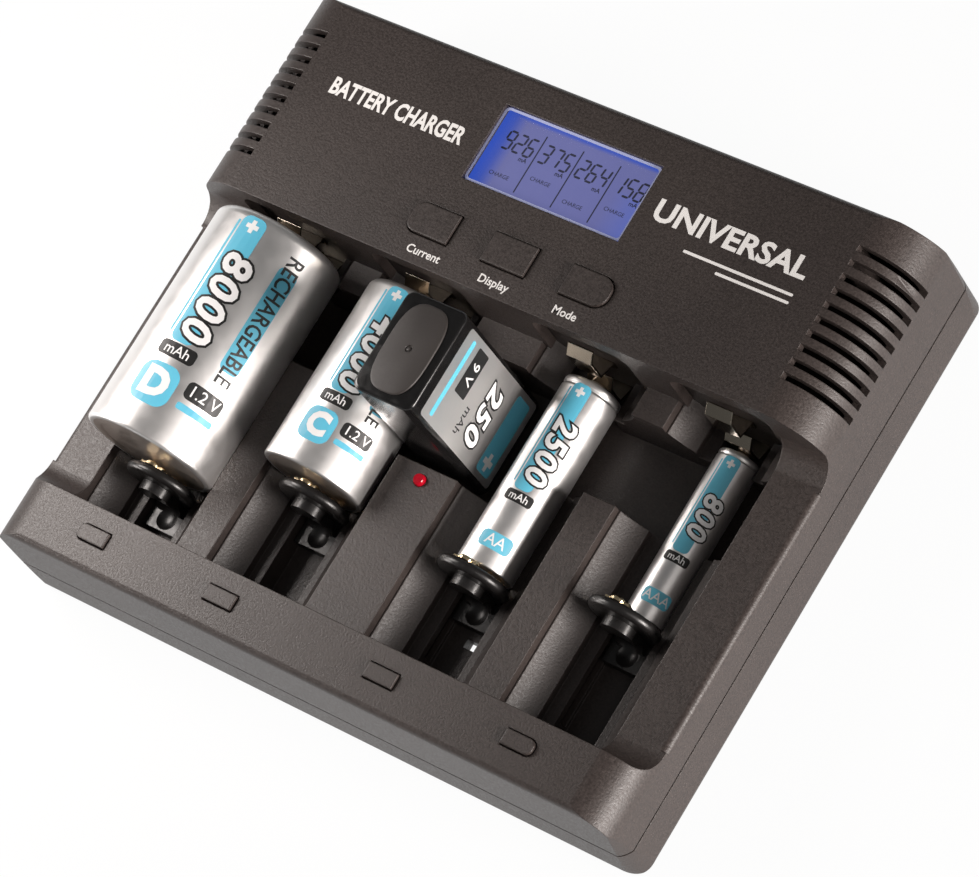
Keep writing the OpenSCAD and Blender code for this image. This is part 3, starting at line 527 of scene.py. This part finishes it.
# Round cells
def cell_profile(radius, length, nub_r, nub_h, beaded):
    """Half section of a cell: a film round a steel can, with a rolled rim, a sunk base and a nub."""
    film, metal = 0, 1
    base, step = 0.35, 0.02
    body = length - nub_h
    rim = 0.05 * radius
    shoulder = 0.16 * radius
    points = [(0, base, metal), (0.74 * radius, base, metal), (0.78 * radius, 0.15, metal),
              (0.80 * radius, step, metal), (0.90 * radius, step, metal), (0.905 * radius, 0.0, film)]
    for a in angles(6, 90):
        points.append((radius - rim + rim * math.sin(a), rim - rim * math.cos(a), film))
    if beaded:
        steps, bead_w, bead_depth = 8, 0.16 * radius, 0.03 * radius
        middle = body - shoulder - 0.14 * radius
        for i in range(-2, steps + 3):
            depth = bead_depth * math.sin(math.pi * min(max(i, 0), steps) / steps) ** 2
            points.append((radius - depth, middle + bead_w * (i / steps - 0.5), film))
    inside, under = radius - shoulder, body - shoulder
    for a in angles(8, 80):
        points.append((inside + shoulder * math.cos(a), under + shoulder * math.sin(a), film))
    points += [(0.72 * radius, body - 0.04, film), (0.70 * radius, body - 0.2, metal),
               (nub_r + 0.14 * radius, body - 0.25, metal), (nub_r + 0.03 * radius, body - 0.1, metal),
               (nub_r, body + 0.25 * nub_h, metal), (nub_r, length - 0.3 * nub_h, metal),
               (0.8 * nub_r, length, metal), (0, length, metal)]
    return points


def make_cell(name, nub_d, nub_h, label, beaded):
    """A detailed cell in the place of a plain one, with its print."""
    low, high = span(name)
    radius = (high[0] - low[0]) / 2
    x, _, z = middle_of(low, high)
    length = high[1] - low[1]
    bm = lathe(cell_profile(radius, length, nub_d / 2, nub_h, beaded))
    bmesh.ops.translate(bm, verts=bm.verts[:], vec=(x, low[1], z))
    body = add_object(name + "_body", bm, [silver_film, cell_metal_with_painted_reflection])
    shade_by_angle(body, 35)
    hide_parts(name)
    art = bmesh.new()
    label(art, radius, length)
    wrap(art, x, low[1], z, radius)
    add_object(name + "_print", art, INKS, smooth=False)


make_cell("d_cell", 9, 1.8, label_art("8000", "D", angle=14, tall=10.5, broad=True), beaded=False)
make_cell("c_cell", 7, 1.6, label_art("4000", "C", angle=12, tall=8.6, broad=True), beaded=False)
make_cell("aa_cell", 5.2, 1.3, label_art("2500", "AA", angle=20, tall=7.6, broad=False), beaded=True)
make_cell("aaa_cell", 3.6, 1.0, label_art("800", "AAA", angle=26, tall=6.6, broad=False), beaded=True)


# Block cell
BLOCK_CORNER, BLOCK_EDGE = 2.4, 0.9
STUD_H, STUD_SUNK, STUD_PITCH = 1.6, 0.4, 12.7
STUD_FOOT_R, STUD_TOP_R = 3.2, 3.6
# What the labels leave free of the block's sides in all, and how far they sit below its middle
LABEL_MARGIN_X, LABEL_MARGIN_Y, LABEL_DROP = 3.4, 5.5, 1.0
# The plate on the block: its height, its half sides as shares of the block's sides, and its rings
# with an inset in the rim or a radius in the dimple, and a height
PLATE_H = 0.5
PLATE_W, PLATE_D, PLATE_POWER = 0.37, 0.43, 3.0
PLATE_RIM = ((0, -0.2), (0, 0.25), (0.12, 0.4), (0.4, 0.48))
PLATE_DIMPLE = ((0.95, 0.48), (0.8, 0.2), (0.62, 0.2), (0.5, 0.36), (0.25, 0.46))


def ring(bm, points, centre, z):
    return [bm.verts.new((centre[0] + x, centre[1] + y, z)) for x, y in points]


def skin(bm, rings):
    """Joins rings of equal length into a closed skin."""
    for lower, upper in zip(rings, rings[1:]):
        count = len(lower)
        for k in range(count):
            n = (k + 1) % count
            bm.faces.new((lower[k], lower[n], upper[n], upper[k]))
    bm.faces.new(list(reversed(rings[0])))
    bm.faces.new(rings[-1])


def squircle(a, b, power, steps=64):
    points = []
    for i in range(steps):
        t = 2 * math.pi * i / steps
        c, s = math.cos(t), math.sin(t)
        x = a * math.copysign(abs(c) ** (2 / power), c)
        y = b * math.copysign(abs(s) ** (2 / power), s)
        points.append((x, y))
    return points


def rounded_block(w, d, low, high, centre):
    """A block with round upright edges and a round top and bottom edge."""
    bm = bmesh.new()
    levels = [(BLOCK_EDGE * (1 - math.sin(a)), low + BLOCK_EDGE * (1 - math.cos(a))) for a in angles(5, 90)]
    levels += [(inset, low + high - z) for inset, z in reversed(levels)]
    rings = []
    for inset, z in levels:
        points = round_rect(w - 2 * inset, d - 2 * inset, BLOCK_CORNER - 0.6 * inset, 8)
        rings.append(ring(bm, points, centre, z))
    skin(bm, rings)
    return bm


def make_block_cell():
    low, high = span("block_cell")
    foot, top = low[2] + STUD_H, high[2] - PLATE_H
    w, d = high[0] - low[0], high[1] - low[1]
    centre = middle_of(low, high)
    bm = rounded_block(w, d, foot, top, centre)
    for side in (-1, 1):
        stud = bmesh.new()
        bmesh.ops.create_cone(stud, cap_ends=True, segments=32, radius1=STUD_FOOT_R, radius2=STUD_TOP_R,
                              depth=STUD_H + STUD_SUNK)
        place = (centre[0], centre[1] + side * STUD_PITCH / 2, foot + (STUD_SUNK - STUD_H) / 2)
        bmesh.ops.translate(stud, verts=stud.verts[:], vec=place)
        for face in stud.faces:
            face.material_index = 1
        merge(bm, stud)
    body = add_object("block_cell_body", bm, [gloss_black, steel])
    shade_by_angle(body, 35)
    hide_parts("block_cell")
    make_block_plate(w, d, top, centre)
    for side in (-1, 1):
        make_block_label(side, centre, w, d, foot, top)


def make_block_plate(w, d, top, centre):
    """A raised plate with a soft rim and a small dimple."""
    bm = bmesh.new()
    rings = []
    for inset, z in PLATE_RIM:
        points = squircle(PLATE_W * w - inset, PLATE_D * d - inset, PLATE_POWER)
        rings.append(ring(bm, points, centre, top + z))
    for radius, z in PLATE_DIMPLE:
        rings.append(ring(bm, squircle(radius, radius, 2.0), centre, top + z))
    skin(bm, rings)
    plate = add_object("block_cell_plate", bm, [end_plate])
    shade_by_angle(plate, 40)


def make_block_label(side, centre, w, d, foot, top):
    """A printed sheet on one broad side: X of the print runs along Y and Y of the print down."""
    wide, tall = d - LABEL_MARGIN_X, top - foot - LABEL_MARGIN_Y
    art = bmesh.new()

    def put(flat, x, y, layer, ink):
        merge(art, placed(flat, x * wide, y * tall, layer=layer * LAYER, ink=ink))

    def bar(x, y, bar_w, bar_h, r, ink, layer=2):
        put(outline(round_rect(bar_w, bar_h, r)), x, y, layer, ink)

    bar(0, 0, wide, tall, 1.0, SILVER, layer=1)
    bar(0, 0.36, 0.86 * wide, 7, 1.0, CYAN)
    put(outline(plus_sign(4.4, 1.4)), 0.3, 0.36, 3, WHITE)
    numerals(art, "250", 9.0, 0, 0.06 * tall, 0)
    put(words("mAh", 3.6, 0.02), 0.22, -0.1, 2, BLACK)
    bar(-0.18, -0.26, 0.5 * wide, 5.4, 0.5, BLACK)
    put(words("9 V", 4.2, 0.03), -0.18, -0.26, 3, WHITE)
    bar(0, -0.4, 0.86 * wide, 1.6, 0.5, CYAN)
    mid = (foot + top) / 2 - LABEL_DROP
    for vertex in art.verts:
        across, down, height = vertex.co
        vertex.co = Vector((centre[0] + side * (w / 2 + height), centre[1] - side * across, mid - down))
    bmesh.ops.recalc_face_normals(art, faces=art.faces[:])
    for face in art.faces:
        if face.normal.x * side < 0:
            face.normal_flip()
    name = "block_cell_label_right" if side > 0 else "block_cell_label_left"
    add_object(name, art, INKS + [silver_film], smooth=False)


make_block_cell()


# Display
SEGMENTS = {"0": "abcdef", "1": "bc", "2": "abged", "3": "abgcd", "4": "fgbc", "5": "afgcd",
            "6": "afgedc", "7": "abc", "8": "abcdefg", "9": "abcfgd"}
READINGS = ("926", "375", "264", "158")
# Figures: width and height between the middles of the bars, thickness of a bar, pitch and lean
DIGIT_W, DIGIT_H, BAR_T, DIGIT_PITCH, DIGIT_LEAN = 2.0, 4.6, 0.54, 3.05, 0.1
# Heights of the prints above the panel, and of the painted highlight ring above the window
FIGURE_LIFT, RIM_LIFT = 0.04, 0.02
# Width of the painted highlight ring on the window's edge
RIM_W = 0.65


def segment_points(kind):
    """One bar of a figure, pointed at both ends."""
    gap, half = 0.12 * BAR_T, BAR_T / 2
    if kind in "adg":
        y = {"a": DIGIT_H / 2, "g": 0, "d": -DIGIT_H / 2}[kind]
        a, b = gap - DIGIT_W / 2, DIGIT_W / 2 - gap
        return [(a, y), (a + half, y + half), (b - half, y + half),
                (b, y), (b - half, y - half), (a + half, y - half)]
    x = DIGIT_W / 2 if kind in "bc" else -DIGIT_W / 2
    a, b = (gap, DIGIT_H / 2 - gap) if kind in "bf" else (gap - DIGIT_H / 2, -gap)
    return [(x, a), (x + half, a + half), (x + half, b - half),
            (x, b), (x - half, b - half), (x - half, a + half)]


def figure(bm, text, x, y):
    for k, char in enumerate(text):
        shift = x + (k - (len(text) - 1) / 2) * DIGIT_PITCH
        for kind in SEGMENTS[char]:
            merge(bm, outline([(px + DIGIT_LEAN * py + shift, py + y) for px, py in segment_points(kind)]))


def make_figures():
    """Dark figures in four columns on the backlit panel."""
    margin_x, margin_y, line_w, line_r, line_gap = 2.2, 2.0, 0.35, 0.1, 2.5
    value_up, unit_up, unit_right, word_left, word_down = 3.6, 0.2, 2.8, 0.6, (5.2, 3.0)
    bm = bmesh.new()
    left, right = LCD_LOW[0] + margin_x, LCD_HIGH[0] - margin_x
    front, back = LCD_LOW[1] + margin_y, LCD_HIGH[1] - margin_y
    column = (right - left) / len(READINGS)
    mid = (front + back) / 2
    for k, value in enumerate(READINGS):
        x = left + column * (k + 0.5)
        figure(bm, value, x, mid + value_up)
        merge(bm, placed(words("mA", 1.6, 0.03), x + unit_right, mid + unit_up))
        merge(bm, placed(words("CHARGE", 1.45, 0.005), x - word_left, mid - word_down[k % 2]))
        if k:
            line = outline(round_rect(line_w, back - front - line_gap, line_r))
            merge(bm, placed(line, left + column * k, mid))
    for vertex in bm.verts:
        vertex.co.z = LCD_HIGH[2] + FIGURE_LIFT
    add_object("display_figures", bm, [segment_ink], smooth=False)


def make_window_highlight():
    """A painted highlight: a pale blue ring where the window's edge catches the light inside its frame."""
    bm = bmesh.new()
    w, d = (WINDOW_HIGH[k] - WINDOW_LOW[k] - 2 * FLANGE for k in (0, 1))
    shapes = (round_rect(w, d, 1.2), round_rect(w - 2 * RIM_W, d - 2 * RIM_W, 0.8))
    outer, inner = (ring(bm, points, WINDOW_MID, WINDOW_HIGH[2] + RIM_LIFT) for points in shapes)
    for k in range(len(outer)):
        n = (k + 1) % len(outer)
        bm.faces.new((outer[k], outer[n], inner[n], inner[k]))
    add_object("window_rim_highlight", bm, [window_highlight_blue], smooth=False)


make_figures()
make_window_highlight()

# Words beside the keys and on the hood, with places from the front
KEY_WORDS = (("Current", -20.3), ("Display", 0.1), ("Mode", 20.5))
KEY_WORD_SIZE, KEY_WORD_BOLD, KEY_WORD_Y = 2.9, 0.05, 100.9
TITLE_SIZE, TITLE_BOLD, TITLE_W = 6.0, 0.2, 39.6
TITLE_X, TITLE_Y = -47.6, 130.0
# The word on the right and the lines below it end at the same place
RIGHT_END = 68.5
KIND_SIZE, KIND_BOLD, KIND_W, KIND_Y = 7.4, 0.22, 42.0, 131.5
# Length and place of each line
LINES = ((30.0, 125.0), (20.0, 123.0))
LINE_T, LINE_R = 0.7, 0.3


def print_on_hood(name, items):
    bm = bmesh.new()
    for art, x, y in items:
        merge(bm, placed(art, x, FRONT_Y + y, layer=HOOD_Z + LAYER))
    add_object(name, bm, [panel_ink], smooth=False)


key_items = [(words(text, KEY_WORD_SIZE, KEY_WORD_BOLD), x, KEY_WORD_Y) for text, x in KEY_WORDS]
print_on_hood("key_words", key_items)
hood_items = [(fitted("BATTERY CHARGER", TITLE_SIZE, TITLE_BOLD, TITLE_W), TITLE_X, TITLE_Y),
              (fitted("UNIVERSAL", KIND_SIZE, KIND_BOLD, KIND_W), RIGHT_END - KIND_W / 2, KIND_Y)]
hood_items += [(outline(round_rect(w, LINE_T, LINE_R)), RIGHT_END - w / 2, y) for w, y in LINES]
print_on_hood("hood_words", hood_items)

# Rounded top of each slider's contact strip
STRIP_DOME_H = 1.0
CROWN_R, CROWN_RISE, CROWN_DROP, CROWN_BACK = 1.7, 0.95, 0.5, 0.4
COLLAR_W, COLLAR_H, CROWN_FOOT = 0.25, 0.1, 0.15


def make_crown(number):
    """A pressed dome with a collar, which stands out a little less than the strip's own domes."""
    low, high = span("slider_contact_%d" % number)
    collar_r = CROWN_R + COLLAR_W
    profile = [(0, -CROWN_BACK, 0), (collar_r, -CROWN_BACK, 0),
               (collar_r, COLLAR_H, 0), (CROWN_R, CROWN_FOOT, 0)]
    for a in angles(12, 90)[1:-1]:
        profile.append((CROWN_R * math.cos(a), CROWN_FOOT + (CROWN_RISE - CROWN_FOOT) * math.sin(a), 0))
    profile.append((0, CROWN_RISE, 0))
    bm = lathe(profile, 48)
    place = (middle_of(low, high)[0], high[1] - STRIP_DOME_H, high[2] - CROWN_DROP)
    bmesh.ops.translate(bm, verts=bm.verts[:], vec=place)
    crown = add_object("slider_contact_%d_crown" % number, bm, [gold], "carriage_%d" % number)
    shade_by_angle(crown, 35)


for bay in (1, 2, 3, 4):
    make_crown(bay)

# Springs that the sliders' joints deform, each copied onto the case with a mesh of its own in place of its
# part, with places in metres
for joint in frame["joints"]:
    for item in joint.get("deforming_nodes", []):
        coil = nodes[item["node"]]
        copy = new_object(item["node"] + "_coil", coil.data.copy())
        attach(copy, CASE)
        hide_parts(item["node"])
        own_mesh(copy)

# Stage, in metres and watts
FLOOR_SIZE = 6.0
# Share of white in what the camera and reflections see of the floor; the rest keeps the shadow
FLOOR_SHARE = 0.95
WORLD_LEVEL = 0.11
WARM_WHITE = (1.0, 0.93, 0.89)
# Name, place, aim, size and power
LIGHTS = (
    ("key", (-0.22, -0.035, 0.19), (-0.06, -0.05, 0.03), (0.12, 0.12), 0.62),
    ("front_fill", (-0.6, -0.35, 0.16), (-0.04, -0.05, 0.03), (0.3, 0.2), 2.4),
    ("right_fill", (0.95, -0.1, 0.2), (0, 0, 0.03), (0.5, 0.3), 16.0),
    ("right_soft", (0.7, -0.2, 0.74), (0, 0, 0.03), (0.45, 0.45), 1.1),
)
# Camera fitted to the photograph: place, turn in degrees, and focal length in pixels of a picture this wide
CAMERA_PLACE = (0.57377, -0.22840, 0.91954)
CAMERA_TURN = (27.2209, 21.2313, 33.1981)
IMAGE_W, FOCAL_PX = 979, 4796.5


def seen_by(tree, first, second):
    """1 for two kinds of rays and 0 for the others."""
    path = add_node(tree, "ShaderNodeLightPath")
    seen = add_node(tree, "ShaderNodeMath", operation="MAXIMUM")
    tree.links.new(path.outputs[first], seen.inputs[0])
    tree.links.new(path.outputs[second], seen.inputs[1])
    return seen.outputs[0]


def make_floor():
    mesh = bpy.data.meshes.new("floor")
    corners = [(-1, -1), (1, -1), (1, 1), (-1, 1)]
    mesh.from_pydata([(x * FLOOR_SIZE, y * FLOOR_SIZE, 0) for x, y in corners], [], [(0, 1, 2, 3)])
    floor = new_object("floor", mesh)
    mat, tree, shader = new_material("floor_white")
    shader.inputs["Base Color"].default_value = (0.9, 0.9, 0.9, 1)
    shader.inputs["Roughness"].default_value = 0.9
    share = add_node(tree, "ShaderNodeMath", operation="MULTIPLY")
    share.inputs[1].default_value = FLOOR_SHARE
    tree.links.new(seen_by(tree, "Is Camera Ray", "Is Glossy Ray"), share.inputs[0])
    white = add_node(tree, "ShaderNodeEmission")
    white.inputs["Strength"].default_value = 1.0
    mix = add_node(tree, "ShaderNodeMixShader")
    tree.links.new(share.outputs[0], mix.inputs[0])
    tree.links.new(shader.outputs[0], mix.inputs[1])
    tree.links.new(white.outputs[0], mix.inputs[2])
    tree.links.new(mix.outputs[0], tree.nodes["Material Output"].inputs["Surface"])
    mesh.materials.append(mat)


def make_world():
    world = bpy.data.worlds.new("studio")
    bpy.context.scene.world = world
    world.use_nodes = True
    tree = world.node_tree
    back = tree.nodes["Background"]
    back.inputs["Color"].default_value = (1, 1, 1, 1)
    seen = seen_by(tree, "Is Camera Ray", "Is Transmission Ray")
    tree.links.new(ranged(tree, seen, WORLD_LEVEL, 1.0, 0.0, 1.0), back.inputs["Strength"])


def area_light(name, place, aim, size, power):
    light = bpy.data.lights.new(name, "AREA")
    light.shape = "RECTANGLE"
    light.size, light.size_y = size
    light.energy = power
    light.color = WARM_WHITE
    obj = new_object(name, light)
    obj.location = place
    obj.rotation_euler = (Vector(aim) - Vector(place)).to_track_quat("-Z", "Y").to_euler()


def make_camera():
    """The photograph's view, with its lens and its tilt."""
    camera = bpy.data.cameras.new("camera")
    camera.sensor_fit = "HORIZONTAL"
    camera.sensor_width = 36.0
    camera.lens = FOCAL_PX / IMAGE_W * camera.sensor_width
    obj = new_object("camera", camera)
    obj.location = CAMERA_PLACE
    obj.rotation_euler = Euler([math.radians(a) for a in CAMERA_TURN], "XYZ")
    bpy.context.scene.camera = obj


make_floor()
make_world()
for values in LIGHTS:
    area_light(*values)
make_camera()
bpy.context.scene.view_settings.view_transform = "Standard"
